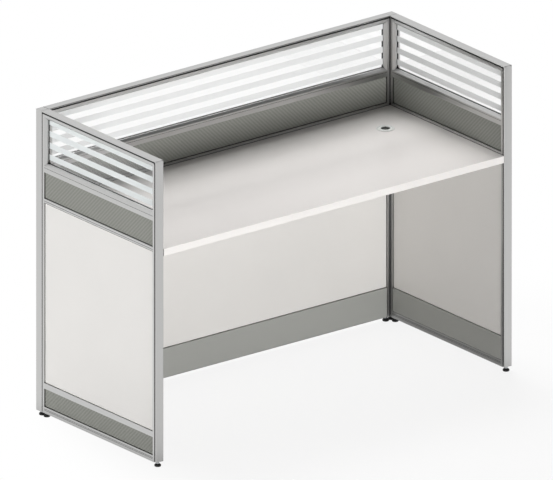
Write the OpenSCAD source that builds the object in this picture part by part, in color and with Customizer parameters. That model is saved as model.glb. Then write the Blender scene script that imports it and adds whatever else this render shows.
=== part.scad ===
// Cubicle workstation: three 32 mm aluminium framed screens round a laminate worktop.
// Millimetres, +Z up, origin on the floor at the centre of the footprint, front towards -Y.

/* [Worktop] */
// Width of the worktop, between the side screens
top_w = 1400; // [1000:50:1800]
// Depth of the worktop, front edge to back screen
top_d = 600; // [500:25:800]
// Thickness of the worktop board
top_t = 25; // [18:1:32]
// Height of the worktop's upper face over the floor
top_z = 750; // [700:5:780]
// Thickness of the edge band on all four edges
band_t = 2; // [1:0.5:3]
// Radius of the edge band's long arrises
band_r = 1.5; // [0.5:0.25:1.75]
// Gap between the worktop and the screens
top_fit = 0.5; // [0.3:0.1:2]

/* [Screens] */
// Thickness of every screen
screen_t = 32; // [30:1:40]
// Height of the screens over the floor
screen_h = 1058; // [1000:1:1400]
// Height of the frame's underside over the floor
frame_z = 17; // [15:1:25]
// Wall of the aluminium profiles
wall = 1.6; // [1.2:0.1:2]
// Width of the face of the stiles and the top rail
face_w = 8.5; // [7.5:0.5:14]
// Width of the recessed joint between frame, posts and trim
reveal_w = 5; // [4:0.5:8]
// Thickness of the recessed spine inside that joint
spine_w = 20; // [18:1:24]
// Radius of the frame's outer top corner
frame_corner_r = 4; // [2:0.5:6]

/* [Rails] */
// Height of the bottom rail
bottom_rail_h = 22; // [18:1:40]
// Height of the opening for the base tile
base_tile_h = 63; // [50:1:120]
// Height of the rail over the base tile
base_rail_h = 19; // [15:1:30]
// Height of the rail at the worktop
mid_rail_h = 14.5; // [13:0.5:25]
// Rise of that rail over the worktop's upper face
mid_rail_rise = 9; // [4:1:12]
// Shadow gap between the board and that rail
board_reveal = 3.5; // [1:0.5:5]
// Height of the opening for the upper tiles
tile_h = 91; // [60:1:130]
// Height of the rail under the window
window_rail_h = 22; // [18:1:30]
// Width of the fine grooves along the rails
groove_w = 1.4; // [0.8:0.2:2]
// Depth of those grooves
groove_d = 0.9; // [0.4:0.1:1]

/* [Infill] */
// Thickness of the boards and tiles
board_t = 6; // [5:0.5:9]
// Gap round each board and tile
board_gap = 1.2; // [0.5:0.1:2]
// Thickness of the glass
glass_t = 5; // [4:0.5:6]
// Thickness of the rubber between glass and bead
gasket_t = 1; // [0.6:0.1:1.2]
// How far the rubber shows past the bead
gasket_show = 0.6; // [0.2:0.1:1]
// Width and depth of the 45 degree window bead
bead_w = 7.5; // [7:0.25:8]
// Thickness of the bead's inner lip
bead_lip_t = 1.5; // [1:0.1:2]
// Thickness of the frosted film strips
strip_t = 0.3; // [0.2:0.1:0.5]
// Height of one frosted strip
strip_h = 20; // [10:1:40]
// Clear glass between two strips
strip_gap = 20.5; // [10:0.5:40]
// Height of the lowest strip over the window rail
strip_first = 19; // [12:1:40]

/* [Trim] */
// Thickness of the top caps and end trims
trim_t = 3.5; // [3:0.25:5]
// Radius of their long arrises
trim_r = 2.8; // [1.5:0.1:2.9]
// Width of the shallow channel along the trim's face
channel_w = 22; // [10:1:24]
// Depth of that channel
channel_d = 0.6; // [0.3:0.1:0.8]
// Length of each leg of the mitred trim corner
corner_l = 16; // [12:1:30]
// Side of the square corner posts
post_w = 30.5; // [29:0.5:31.5]
// Radius of the posts' corners
post_r = 3; // [2:0.5:5]
// Wall of the corner posts
post_wall = 2.2; // [1.8:0.1:3]

/* [Raceway] */
// Thickness of the raceway covers
cover_t = 3; // [2:0.5:4]
// Depth of the two ribs behind each cover
cover_rib_d = 6; // [4:0.5:6.5]
// Thickness of those ribs
cover_rib_t = 2; // [1.5:0.5:3]
// Height of the back cover's lower edge over the frame's underside
back_cover_rise = 3; // [2:1:8]
// Length of one cover clip
clip_l = 24; // [15:1:40]
// Height of one cover clip
clip_h = 7; // [5:1:9]
// Largest distance between two clips
clip_pitch = 560; // [300:20:600]

/* [Grommet] */
// Distance of the grommet's centre from the right screen
grommet_side = 147; // [80:1:300]
// Distance of the grommet's centre from the back screen
grommet_back = 163; // [80:1:250]
// Diameter of the liner's flange
flange_dia = 60; // [58:1:70]
// Thickness of the flange
flange_t = 1.5; // [1:0.25:2.5]
// Diameter of the lift-out cap
cap_dia = 50; // [46:1:52]
// Thickness of the cap
cap_t = 3.2; // [2.5:0.1:4]
// Diameter of the cable hole in the cap
cable_dia = 30; // [20:1:36]
// How far the flange covers the worktop round its hole
flange_lip = 3; // [2:0.25:3.5]
// Wall of the liner's tube
liner_wall = 1.7; // [1.5:0.1:2.5]

/* [Feet] */
// Diameter of a foot pad
pad_dia = 22; // [18:0.5:22.5]
// Height of a foot pad
pad_h = 9; // [6:0.5:10]
// Diameter of the foot's threaded stem
stem_dia = 6; // [5:0.5:7]
// Width across the flats of the stem's hexagon
hex_af = 10; // [9:0.5:12]
// Length of the stem over the frame's underside
stem_l = 26; // [20:1:30]
// Height of the foot plugs
plug_h = 28; // [22:1:36]
// Distance of a foot from the end of its screen
foot_x = 7.5; // [6:0.5:8]

/* [Brackets and fasteners] */
// Leg of the steel angles under the worktop
angle_leg = 40; // [30:1:60]
// Thickness of those angles
angle_t = 3; // [2:0.5:4]
// Length of a side angle
side_angle_l = 400; // [300:20:460]
// Length of a back angle
back_angle_l = 120; // [80:10:300]
// Diameter of a wood screw
screw_dia = 4; // [3.5:0.1:4.5]
// Length of a wood screw under its head
screw_l = 16; // [12:1:18]
// Diameter of a wood screw's head
screw_head_dia = 8; // [7:0.5:9]
// Height of a wood screw's head
screw_head_h = 2.6; // [2:0.1:3]
// Diameter of a connector bolt
bolt_dia = 5; // [4:0.5:6]
// Diameter of a connector bolt's head
bolt_head_dia = 8; // [7:0.5:8.5]
// Height of a connector bolt's head
bolt_head_h = 3; // [2:0.5:4]
// Depth of a connector bolt inside the post's wall
bolt_bite = 4; // [3:0.5:6]
// Diameter of a frame screw
port_screw_dia = 3.8; // [3.4:0.1:4]
// Length of a frame screw inside the rail
port_screw_l = 18; // [12:1:25]

/* [Hidden] */
// Small overrun that lets every cut pass its face
over = 0.5;
// Clearance between pieces that slip past each other
slip = 0.3;
// Radial clearance of a turning thread or pin
run_fit = 0.05;
// Smooth circles
$fn = 48;
round_fn = 64;
channel_fn = 360;
// Glazing pocket inside the profiles: its width, and the length and wall of its legs
pocket_w = 9;
leg_l = 5.5;
leg_t = 1.5;
leg_y = pocket_w / 2 + leg_t;
// Gap between the glass edge and the bottom of its pocket
glass_gap = 1;
// Height of the grooves over the underside of their rail
bottom_groove_z = [10, 14];
mid_groove_z = [5.5];
window_groove_z = [15];
// Screw port inside the rails
port_wall = 1.6;
// Hooks under the caps and trims
hook_t = 2;
hook_l = 6;
hook_x = spine_w / 2 - wall - slip - hook_t / 2;
// Half the width of a stile's foot plug, which fits between the hooks
plug_half = hook_x - hook_t / 2 - slip;
// Head of a frame screw
port_head_dia = 7;
port_head_h = 2.6;
// Clearance round screws and bolts
screw_fit = 0.15;
bolt_fit = 0.2;
// Edge of the cap and the pad
cap_edge = 0.8;
pad_edge = 1;
pad_top_dia = 14;
pad_floor = 3.7;
pad_side_h = 5.5;
// Depth of the seat for the cap in the liner, width and thickness of the ledge under it,
// and length of the liner's tube
seat_d = 3;
ledge_w = 3;
ledge_t = 1.5;
liner_l = 22;
// Fine joint between lengths of one bead or band that are cut to meet
joint_gap = 0.1;
// Places of the connectors and screws, as shares of the piece that carries them
board_bolt_shares = [0.3, 0.7];
side_screw_shares = [0.08, 0.5, 0.92];
back_screw_shares = [0.2, 0.8];
back_angle_shares = [0.2, 0.8];
leg_screw_share = 0.6;

all_w = top_w + 2 * screen_t;
all_d = top_d + screen_t;
y_back = all_d / 2 - screen_t;
side_l = all_d - post_w;
back_l = all_w - 2 * post_w;
stile_x = reveal_w + face_w;

z_base = frame_z + bottom_rail_h;
z_base_rail = z_base + base_tile_h;
z_board = z_base_rail + base_rail_h;
z_tile = top_z + mid_rail_rise;
z_mid_rail = z_tile - mid_rail_h;
z_board_top = z_mid_rail - board_reveal;
z_window_rail = z_tile + tile_h;
z_window = z_window_rail + window_rail_h;
z_trim = screen_h - trim_t;
z_rail_top = z_trim - reveal_w;
z_window_top = z_rail_top - face_w;
window_h = z_window_top - z_window;

board_face = leg_y + board_t;
strip_pitch = strip_h + strip_gap;
strip_top = window_h - bead_w - gasket_show;
strip_count = floor((strip_top - strip_first + strip_gap) / strip_pitch);
grommet_x = top_w / 2 - grommet_side;
grommet_y = y_back - grommet_back;
bore_dia = flange_dia - 2 * flange_lip;
liner_dia = bore_dia - 2 * slip;
channel_r = (channel_w * channel_w / 4 + channel_d * channel_d) / (2 * channel_d);
cover_back = screen_t / 2 - cover_t;
cover_top = z_board - 2 * slip;
cover_low = z_base + 2 * slip;
side_angle_y = -all_d / 2 + (all_d - screen_t) / 2;

silver = "#cfcfcd";
board_white = "#e4e3df";
tile_grey = "#8a8b86";
cover_grey = "#a9a9a6";
steel = "#b9bbbd";
black = "#1c1c1c";
glass_tint = [0.85, 0.93, 0.92, 0.35];
film_white = [0.95, 0.96, 0.96, 0.85];

SIDES = ["back", "left", "right"];

// Length of a screen between its two end faces, and the trim that closes its far end
function screen_l(side) = side == "back" ? back_l : side_l;
function tail(side) = side == "back" ? 0 : trim_t;
// Where the infill of a screen ends
function infill_end(side) = screen_l(side) - tail(side) - stile_x;
function infill_l(side) = infill_end(side) - stile_x;
// Height of a screen's connector bolts
function bolt_heights() = concat(
    [z_base + base_tile_h / 2],
    [for (s = board_bolt_shares) z_board + s * (z_board_top - z_board)],
    [z_tile + tile_h / 2]
);
// The three rails that frame screws hold: underside, height and inner face
function rail_rows() = [
    [z_base_rail, base_rail_h, leg_y],
    [z_mid_rail, mid_rail_h, screen_t / 2],
    [z_window_rail, window_rail_h, screen_t / 2]
];
// Heights where a stile's pocket legs are notched for the ends of the rails
function leg_gaps() = [
    [frame_z - over, z_base + leg_l],
    [z_base_rail - leg_l, z_board + leg_l],
    [z_mid_rail - leg_l, z_tile + leg_l],
    [z_window_rail - leg_l, z_window + leg_l],
    [z_window_top - leg_l, z_rail_top + over]
];
// Middle of a rail's hollow, across the screen
function port_y(inner) = (inner - screen_t / 2) / 2;
// Even places of clips along a screen
function clip_count(side) = max(2, ceil(infill_l(side) / clip_pitch));
// Centre of a foot on the floor
function foot_at(foot) =
    foot == "left_front" ? [-side_centre_x(), -all_d / 2 + trim_t + foot_x]
    : foot == "left_rear" ? [-side_centre_x(), all_d / 2 - post_w - foot_x]
    : foot == "left_corner" ? [-post_centre_x(), post_centre_y()]
    : foot == "back_left" ? [-(back_l / 2 - foot_x), all_d / 2 - screen_t / 2]
    : let (m = foot_at(mirror_foot(foot))) [-m[0], m[1]];
function mirror_foot(foot) =
    foot == "right_front" ? "left_front"
    : foot == "right_rear" ? "left_rear"
    : foot == "right_corner" ? "left_corner"
    : "back_left";
function side_centre_x() = all_w / 2 - screen_t / 2;
function post_centre_x() = all_w / 2 - post_w / 2;
function post_centre_y() = all_d / 2 - post_w / 2;

// A screen's own frame: x runs along it from its post, y is across it with the inner face
// at +y, and z is the height over the floor
module place(side) {
    if (side == "left")
        translate([-side_centre_x(), all_d / 2 - post_w, 0]) rotate([0, 0, -90]) children();
    if (side == "right")
        mirror([1, 0, 0]) place("left") children();
    if (side == "back")
        translate([back_l / 2, all_d / 2 - screen_t / 2, 0]) rotate([0, 0, 180]) children();
}

// Both long sides of a screen
module both_faces() {
    children();
    mirror([0, 1, 0]) children();
}

// A section drawn as (across, height), run along a screen
module run(length) {
    rotate([90, 0, 90]) linear_extrude(length) children();
}

// A box between two corners
module block(low, high) {
    translate(low) cube(high - low);
}

// Stile and top rail profile: open spine towards the joint, hollow face, two pocket legs
module stile_section() {
    difference() {
        union() {
            translate([0, -spine_w / 2]) square([stile_x, spine_w]);
            translate([reveal_w, -screen_t / 2]) square([face_w, screen_t]);
        }
        translate([-over, -spine_w / 2 + wall])
            square([stile_x - wall + over, spine_w - 2 * wall]);
        translate([reveal_w + wall, -screen_t / 2 + wall])
            square([face_w - 2 * wall, screen_t - 2 * wall]);
    }
    pocket_legs();
}

// The two legs of the glazing pocket, pointing to +x from a face at the stile's edge
module pocket_legs() {
    for (s = [-1, 1])
        translate([stile_x - over, s * (leg_y - leg_t / 2) - leg_t / 2])
            square([leg_l + over, leg_t]);
}

module round_corner_cut(r) {
    difference() {
        square(r + over);
        circle(r);
    }
}

module stile(corner) {
    difference() {
        union() {
            translate([0, 0, frame_z]) linear_extrude(z_rail_top - frame_z) stile_section();
            difference() {
                block([0, -spine_w / 2, z_rail_top - over], [stile_x, spine_w / 2, z_trim]);
                block([-over, -spine_w / 2 + wall, z_rail_top - 2 * over],
                    [stile_x - wall, spine_w / 2 - wall, z_trim + over]);
            }
        }
        // Rounded outer corner of the face, which the recessed joint follows
        if (corner)
            for (s = [-1, 1])
                translate([reveal_w + frame_corner_r, s * (screen_t + spine_w) / 2,
                        z_rail_top - frame_corner_r])
                    mirror([1, 0, 0]) rotate([90, 0, 0])
                        linear_extrude(screen_t, center = true)
                            round_corner_cut(frame_corner_r);
        for (row = rail_rows())
            translate([0, port_y(row[2]), row[0] + row[1] / 2]) rotate([0, 90, 0])
                cylinder(h = stile_x + leg_l, d = port_screw_dia + 2 * screw_fit);
        if (!corner)
            for (z = bolt_heights())
                translate([0, 0, z]) rotate([0, 90, 0])
                    cylinder(h = stile_x + leg_l, d = bolt_dia + 2 * bolt_fit);
        for (gap = leg_gaps())
            block([stile_x, -leg_y - over, gap[0]], [stile_x + leg_l + over, leg_y + over, gap[1]]);
    }
}

module stiles(side) {
    stile(false);
    translate([screen_l(side) - tail(side), 0, 0]) mirror([1, 0, 0]) stile(side != "back");
}

// Rail profile: hollow box with fine grooves, a round screw port on a web, pocket legs
module rail_section(height, inner, legs, grooves) {
    outer = -screen_t / 2;
    middle = [port_y(inner), height / 2];
    port_dia = port_screw_dia + 2 * (run_fit + port_wall);
    difference() {
        union() {
            difference() {
                translate([outer, 0]) square([inner - outer, height]);
                translate([outer + wall + groove_d, wall])
                    square([inner - outer - 2 * (wall + groove_d), height - 2 * wall]);
            }
            translate(middle) circle(d = port_dia);
            translate([middle[0] - port_wall / 2, wall / 2])
                square([port_wall, middle[1] - wall / 2]);
        }
        translate(middle) circle(d = port_screw_dia + 2 * run_fit);
        for (z = grooves) {
            translate([outer - over, z]) square([groove_d + over, groove_w]);
            translate([inner - groove_d, z]) square([groove_d + over, groove_w]);
        }
    }
    for (up = legs)
        for (s = [-1, 1])
            translate([s * (leg_y - leg_t / 2) - leg_t / 2, up ? height - over : -leg_l])
                square([leg_t, leg_l + over]);
}

module rail(side, z, height, inner, legs, grooves) {
    translate([stile_x, 0, z]) run(infill_l(side)) rail_section(height, inner, legs, grooves);
}

module rails(side) {
    full = screen_t / 2;
    bottom_inner = side == "back" ? cover_back - slip : full;
    rail(side, frame_z, bottom_rail_h, bottom_inner, [true], bottom_groove_z);
    rail(side, z_base_rail, base_rail_h, leg_y, [true, false], []);
    rail(side, z_mid_rail, mid_rail_h, full, [true, false], mid_groove_z);
    rail(side, z_window_rail, window_rail_h, full, [true, false], window_groove_z);
    translate([stile_x, 0, z_trim]) rotate([0, 90, 0]) linear_extrude(infill_l(side))
        stile_section();
}

// Plate with two round arrises, drawn as (across, outward) from its inner face
module plate_section(width, thickness, radius) {
    translate([-width / 2, 0]) square([width, thickness - radius]);
    translate([-width / 2 + radius, 0]) square([width - 2 * radius, thickness]);
    for (s = [-1, 1])
        intersection() {
            translate([s * (width / 2 - radius), thickness - radius]) circle(radius);
            translate([-width / 2, 0]) square([width, thickness]);
        }
}

module channel_cut() {
    translate([0, trim_t + channel_r - channel_d]) circle(channel_r, $fn = channel_fn);
}

// Cap and end trim profile: arrised plate, shallow face channel, two hooks
module trim_section(hooks) {
    difference() {
        plate_section(screen_t, trim_t, trim_r);
        channel_cut();
    }
    if (hooks)
        for (s = [-1, 1])
            translate([s * hook_x - hook_t / 2, -hook_l]) square([hook_t, hook_l + over]);
}

module top_cap(side) {
    // Over the stiles' closed tops the hooks are cut off
    length = screen_l(side) - (side == "back" ? 0 : corner_l);
    difference() {
        translate([0, 0, z_trim]) run(length) trim_section(false);
        // The posts are thinner than the screens: the side caps make room for the back cap
        if (side != "back")
            block([-over, post_w - screen_t / 2, z_trim - over],
                [screen_t - post_w, screen_t / 2 + over, screen_h + over]);
    }
    translate([stile_x + slip, 0, z_trim]) run(infill_l(side) - 2 * slip) trim_section(true);
}

module front_end_trim() {
    translate([side_l - trim_t, 0, frame_z]) rotate([0, 0, -90]) mirror([1, 0, 0])
        linear_extrude(z_trim + trim_t - corner_l - frame_z) trim_section(true);
}

// Mitred corner between a side screen's top cap and its end trim
module trim_corner() {
    translate([side_l - corner_l, 0, screen_h - corner_l])
        intersection() {
            union() {
                mitred_leg() translate([0, 0, corner_l - trim_t]) run(corner_l)
                    trim_section(false);
                mirror([1, 0, -1]) mitred_leg() translate([0, 0, corner_l - trim_t])
                    run(corner_l) trim_section(false);
            }
            translate([0, screen_t, 0]) rotate([90, 0, 0]) linear_extrude(2 * screen_t)
                difference() {
                    square(corner_l);
                    translate([corner_l - trim_r, corner_l - trim_r])
                        round_corner_cut(trim_r);
                }
        }
}

// Keeps the half of a corner's square that lies over its diagonal
module mitred_leg() {
    intersection() {
        children();
        translate([0, screen_t, 0]) rotate([90, 0, 0]) linear_extrude(2 * screen_t)
            polygon([[0, 0], [corner_l, corner_l], [0, corner_l]]);
    }
}

// Bead profile on the inner face: 45 degree bevel, and a lip that hooks round the pocket leg
module bead_section() {
    half = screen_t / 2;
    lip_y = glass_t / 2 + gasket_t;
    polygon([
        [half, 0], [half - bead_w, bead_w], [lip_y, bead_w], [lip_y, bead_w - bead_lip_t],
        [leg_y + slip, bead_w - bead_lip_t], [leg_y + slip, 0]
    ]);
}

// One bead with both ends mitred, standing on the edge of an opening of that length
module bead(length) {
    intersection() {
        run(length) bead_section();
        translate([0, screen_t, 0]) rotate([90, 0, 0]) linear_extrude(2 * screen_t)
            polygon([
                [joint_gap, 0], [length - joint_gap, 0],
                [length - bead_w - joint_gap, bead_w], [bead_w + joint_gap, bead_w]
            ]);
    }
}

module window_beads(side) {
    length = infill_l(side);
    both_faces() {
        translate([stile_x, 0, z_window]) bead(length);
        translate([stile_x, 0, z_window_top]) mirror([0, 0, 1]) bead(length);
        translate([stile_x, 0, z_window]) mirror([1, 0, -1]) bead(window_h);
        translate([infill_end(side), 0, z_window]) mirror([1, 0, 0]) mirror([1, 0, -1])
            bead(window_h);
    }
}

module glass(side) {
    block([stile_x + glass_gap, -glass_t / 2, z_window + glass_gap],
        [infill_end(side) - glass_gap, glass_t / 2, z_window_top - glass_gap]);
}

// Rubber strip between the glass and the beads, one frame on each face
module gasket(side) {
    edge = bead_w + gasket_show;
    both_faces()
        difference() {
            block([stile_x + glass_gap, glass_t / 2, z_window + glass_gap],
                [infill_end(side) - glass_gap, glass_t / 2 + gasket_t,
                    z_window_top - glass_gap]);
            block([stile_x + edge, 0, z_window + edge],
                [infill_end(side) - edge, screen_t, z_window_top - edge]);
        }
}

module strips(side) {
    edge = bead_w + gasket_show;
    for (k = [0:strip_count - 1])
        block([stile_x + edge, glass_t / 2, z_window + strip_first + k * strip_pitch],
            [infill_end(side) - edge, glass_t / 2 + strip_t,
                z_window + strip_first + k * strip_pitch + strip_h]);
}

// A board or tile that rests on the pocket legs, with its face at +y
module infill(side, low, high) {
    block([stile_x + board_gap, leg_y, low], [infill_end(side) - board_gap, board_face, high]);
}

module tiles(side) {
    both_faces() infill(side, z_tile + board_gap, z_window_rail - board_gap);
}

module base_tile(side) {
    mirror([0, 1, 0]) infill(side, z_base + board_gap, z_base_rail - board_gap);
}

module boards(side) {
    difference() {
        both_faces() infill(side, z_board + board_gap, z_board_top);
        angle_screw_places(side)
            cylinder(h = screw_l + over, d = screw_dia + 2 * run_fit);
    }
}

module raceway_cover(side) {
    low = side == "back" ? frame_z + back_cover_rise : cover_low;
    x0 = stile_x + board_gap;
    x1 = infill_end(side) - board_gap;
    block([x0, cover_back, low], [x1, screen_t / 2, cover_top]);
    for (z = [cover_low, cover_top - cover_rib_t])
        block([x0, cover_back - cover_rib_d, z], [x1, cover_back + over, z + cover_rib_t]);
}

// Clips that grip the two ribs: one on the leg of the bottom rail, one on the base rail
module clips(side) {
    count = clip_count(side);
    low_z = cover_low + cover_rib_t + slip;
    high_z = cover_top - cover_rib_t - slip - clip_h;
    for (k = [0:count - 1]) {
        middle = stile_x + (k + 0.5) * infill_l(side) / count;
        for (z = [low_z, high_z])
            block([middle - clip_l / 2, leg_y, z],
                [middle + clip_l / 2, cover_back - slip, z + clip_h]);
    }
}

module connector(side) {
    for (z = bolt_heights())
        translate([0, 0, z]) rotate([0, 90, 0]) {
            translate([0, 0, stile_x]) cylinder(h = bolt_head_h, d = bolt_head_dia);
            translate([0, 0, -post_wall - bolt_bite])
                cylinder(h = post_wall + bolt_bite + stile_x + over, d = bolt_dia);
        }
}

// The screws that hold one end of the rails, from inside the stile's spine
module rail_screws() {
    for (row = rail_rows())
        translate([stile_x - wall, port_y(row[2]), row[0] + row[1] / 2]) rotate([0, 90, 0]) {
            translate([0, 0, -port_head_h]) cylinder(h = port_head_h, d = port_head_dia);
            translate([0, 0, -over]) cylinder(h = port_screw_l + wall + over, d = port_screw_dia);
        }
}

// Square post, from the frame's underside to the caps, bored for the connectors
module corner_post() {
    translate([-post_centre_x(), post_centre_y(), frame_z])
        linear_extrude(z_trim - frame_z)
            difference() {
                rounded_square(post_w, post_r);
                square(post_w - 2 * post_wall, center = true);
            }
}

module rounded_square(width, radius) {
    square([width - 2 * radius, width], center = true);
    square([width, width - 2 * radius], center = true);
    for (sx = [-1, 1])
        for (sy = [-1, 1])
            translate([sx * (width / 2 - radius), sy * (width / 2 - radius)]) circle(radius);
}

module bored_post() {
    difference() {
        corner_post();
        for (side = ["left", "back"])
            place(side)
                for (z = bolt_heights()) {
                    bolt_bore(z);
                    if (side == "back")
                        translate([back_l, 0, 0]) mirror([1, 0, 0]) bolt_bore(z);
                }
    }
}

module bolt_bore(z) {
    translate([-post_wall - over, 0, z]) rotate([0, 90, 0])
        cylinder(h = post_wall + 2 * over, d = bolt_dia + 2 * bolt_fit);
}

// Square cap, round on its edges, with a plug inside the post
module post_cap() {
    plug = post_w - 2 * post_wall - 2 * slip;
    translate([-post_centre_x(), post_centre_y(), z_trim]) {
        intersection() {
            translate([-post_w / 2, 0, 0]) run(post_w) plate_section(post_w, trim_t, trim_r);
            rotate([0, 0, 90]) translate([-post_w / 2, 0, 0]) run(post_w)
                plate_section(post_w, trim_t, trim_r);
        }
        translate([-plug / 2, -plug / 2, -hook_l]) cube([plug, plug, hook_l + over]);
    }
}

module angle(length) {
    run(length)
        polygon([[0, 0], [-angle_leg, 0], [-angle_leg, -angle_t], [-angle_t, -angle_t],
            [-angle_t, -angle_leg], [0, -angle_leg]]);
}

// An angle's own frame: x along it, y towards its screen, z down from the worktop
module at_angles(side) {
    face = board_face - screen_t / 2;
    if (side == "left")
        translate([-top_w / 2 + face, side_angle_y + side_angle_l / 2, top_z - top_t])
            rotate([0, 0, -90]) mirror([0, 1, 0]) children();
    if (side == "right")
        mirror([1, 0, 0]) at_angles("left") children();
    if (side == "back")
        for (s = back_angle_shares)
            translate([(s - 1 / 2) * top_w - back_angle_l / 2, y_back - face,
                    top_z - top_t])
                children();
}

function angle_l(side) = side == "back" ? back_angle_l : side_angle_l;
function screw_shares(side) = side == "back" ? back_screw_shares : side_screw_shares;

// Each place of a screw in an angle, with +z along the screw from the seat of its head
module angle_screws(side, vertical) {
    for (s = screw_shares(side))
        if (vertical)
            translate([s * angle_l(side), -angle_t, -angle_leg * leg_screw_share])
                rotate([-90, 0, 0]) children();
        else
            translate([s * angle_l(side), -angle_leg * leg_screw_share, -angle_t]) children();
}

// The same places, seen from a screen's own frame, to bore its boards
module angle_screw_places(side) {
    local(side) at_angles(side) angle_screws(side, true) children();
}

// Turns places in the part's frame into a screen's own frame
module local(side) {
    if (side == "left" || side == "right")
        rotate([0, 0, 90]) translate([side_centre_x(), -(all_d / 2 - post_w), 0])
            mirror([side == "right" ? 1 : 0, 0, 0]) children();
    if (side == "back")
        rotate([0, 0, -180]) translate([-back_l / 2, -(all_d / 2 - screen_t / 2), 0])
            children();
}

module brackets(side) {
    at_angles(side)
        difference() {
            angle(angle_l(side));
            for (vertical = [true, false])
                angle_screws(side, vertical)
                    translate([0, 0, -over])
                        cylinder(h = angle_t + 2 * over, d = screw_dia + 2 * screw_fit);
        }
}

module wood_screw() {
    translate([0, 0, -screw_head_h]) cylinder(h = screw_head_h, d = screw_head_dia);
    translate([0, 0, -over]) cylinder(h = screw_l + over, d = screw_dia);
}

module worktop_core() {
    half = top_w / 2 - top_fit - band_t;
    difference() {
        block([-half, -all_d / 2 + band_t, top_z - top_t],
            [half, y_back - top_fit - band_t, top_z]);
        translate([grommet_x, grommet_y, top_z - top_t - over])
            cylinder(h = top_t + 2 * over, d = bore_dia, $fn = round_fn);
        for (side = SIDES)
            at_angles(side) angle_screws(side, false)
                cylinder(h = screw_l + over, d = screw_dia + 2 * run_fit);
    }
}

module edge_bands() {
    half = top_w / 2 - top_fit;
    back = y_back - top_fit;
    translate([-half, -all_d / 2 + band_t, top_z - top_t / 2]) rotate([90, 0, 0])
        run(2 * half) plate_section(top_t, band_t, band_r);
    block([-half, back - band_t, top_z - top_t], [half, back, top_z]);
    for (s = [-1, 1])
        translate([s * (half - band_t / 2), 0, 0])
            block([-band_t / 2, -all_d / 2 + band_t + joint_gap, top_z - top_t],
                [band_t / 2, back - band_t - joint_gap, top_z]);
}

module liner() {
    seat_r = cap_dia / 2 + slip;
    tube_r = liner_dia / 2;
    ledge_r = cap_dia / 2 - ledge_w;
    ledge_z = flange_t - seat_d;
    translate([grommet_x, grommet_y, top_z])
        rotate_extrude($fn = round_fn)
            polygon([
                [tube_r - liner_wall, -liner_l], [tube_r, -liner_l], [tube_r, 0],
                [flange_dia / 2, 0], [flange_dia / 2 - flange_t / 2, flange_t],
                [seat_r, flange_t], [seat_r, ledge_z], [ledge_r, ledge_z],
                [ledge_r, ledge_z - ledge_t], [tube_r - liner_wall, ledge_z - ledge_t]
            ]);
}

module cap() {
    translate([grommet_x, grommet_y, top_z + flange_t - seat_d])
        rotate_extrude($fn = round_fn)
            polygon([
                [cable_dia / 2, 0], [cap_dia / 2, 0], [cap_dia / 2, cap_t - cap_edge],
                [cap_dia / 2 - cap_edge, cap_t], [cable_dia / 2 + cap_edge, cap_t],
                [cable_dia / 2, cap_t - cap_edge]
            ]);
}

// Nylon block in a stile's spine or in a post, bored for the stem
module stile_plug() {
    difference() {
        block([slip, -plug_half, frame_z], [stile_x - wall - slip, plug_half, frame_z + plug_h]);
        translate([foot_x, 0, frame_z]) plug_bore();
    }
}

module plug_bore() {
    translate([0, 0, -over]) cylinder(h = plug_h + 2 * over, d = stem_dia);
}

module post_plug() {
    side = post_w - 2 * post_wall - 2 * slip;
    translate([-post_centre_x(), post_centre_y(), frame_z])
        difference() {
            translate([-side / 2, -side / 2, 0]) cube([side, side, plug_h]);
            plug_bore();
        }
}

module all_plugs() {
    for (side = SIDES)
        place(side) {
            stile_plug();
            translate([screen_l(side) - tail(side), 0, 0]) mirror([1, 0, 0]) stile_plug();
        }
    post_plug();
    mirror([1, 0, 0]) post_plug();
}

module foot_pad(foot) {
    translate(concat(foot_at(foot), 0))
        rotate_extrude($fn = round_fn)
            polygon([
                [0, 0], [pad_dia / 2 - pad_edge, 0], [pad_dia / 2, pad_edge],
                [pad_dia / 2, pad_side_h], [pad_top_dia / 2, pad_h], [stem_dia / 2, pad_h],
                [stem_dia / 2, pad_floor], [0, pad_floor]
            ]);
}

module foot_stem(foot) {
    radius = stem_dia / 2 - run_fit;
    translate(concat(foot_at(foot), 0)) {
        translate([0, 0, pad_floor + slip])
            cylinder(h = frame_z + stem_l - pad_floor - slip, r = radius);
        translate([0, 0, pad_h])
            cylinder(h = frame_z - pad_h, r = hex_af / 2 / cos(30), $fn = 6);
    }
}

module left_and_right() {
    children();
    mirror([1, 0, 0]) children();
}

module back_stiles() { color(silver) place("back") stiles("back"); }
module left_stiles() { color(silver) place("left") stiles("left"); }
module right_stiles() { color(silver) place("right") stiles("right"); }
module back_rails() { color(silver) place("back") rails("back"); }
module left_rails() { color(silver) place("left") rails("left"); }
module right_rails() { color(silver) place("right") rails("right"); }
module back_top_cap() { color(silver) place("back") top_cap("back"); }
module left_top_cap() { color(silver) place("left") top_cap("left"); }
module right_top_cap() { color(silver) place("right") top_cap("right"); }
module back_window_beads() { color(silver) place("back") window_beads("back"); }
module left_window_beads() { color(silver) place("left") window_beads("left"); }
module right_window_beads() { color(silver) place("right") window_beads("right"); }
module back_glass() { color(glass_tint) place("back") glass("back"); }
module left_glass() { color(glass_tint) place("left") glass("left"); }
module right_glass() { color(glass_tint) place("right") glass("right"); }
module back_tiles() { color(tile_grey) place("back") tiles("back"); }
module left_tiles() { color(tile_grey) place("left") tiles("left"); }
module right_tiles() { color(tile_grey) place("right") tiles("right"); }
module back_base_tile() { color(tile_grey) place("back") base_tile("back"); }
module left_base_tile() { color(tile_grey) place("left") base_tile("left"); }
module right_base_tile() { color(tile_grey) place("right") base_tile("right"); }
module back_boards() { color(board_white) place("back") boards("back"); }
module left_boards() { color(board_white) place("left") boards("left"); }
module right_boards() { color(board_white) place("right") boards("right"); }
module back_raceway_cover() { color(cover_grey) place("back") raceway_cover("back"); }
module left_raceway_cover() { color(cover_grey) place("left") raceway_cover("left"); }
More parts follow.
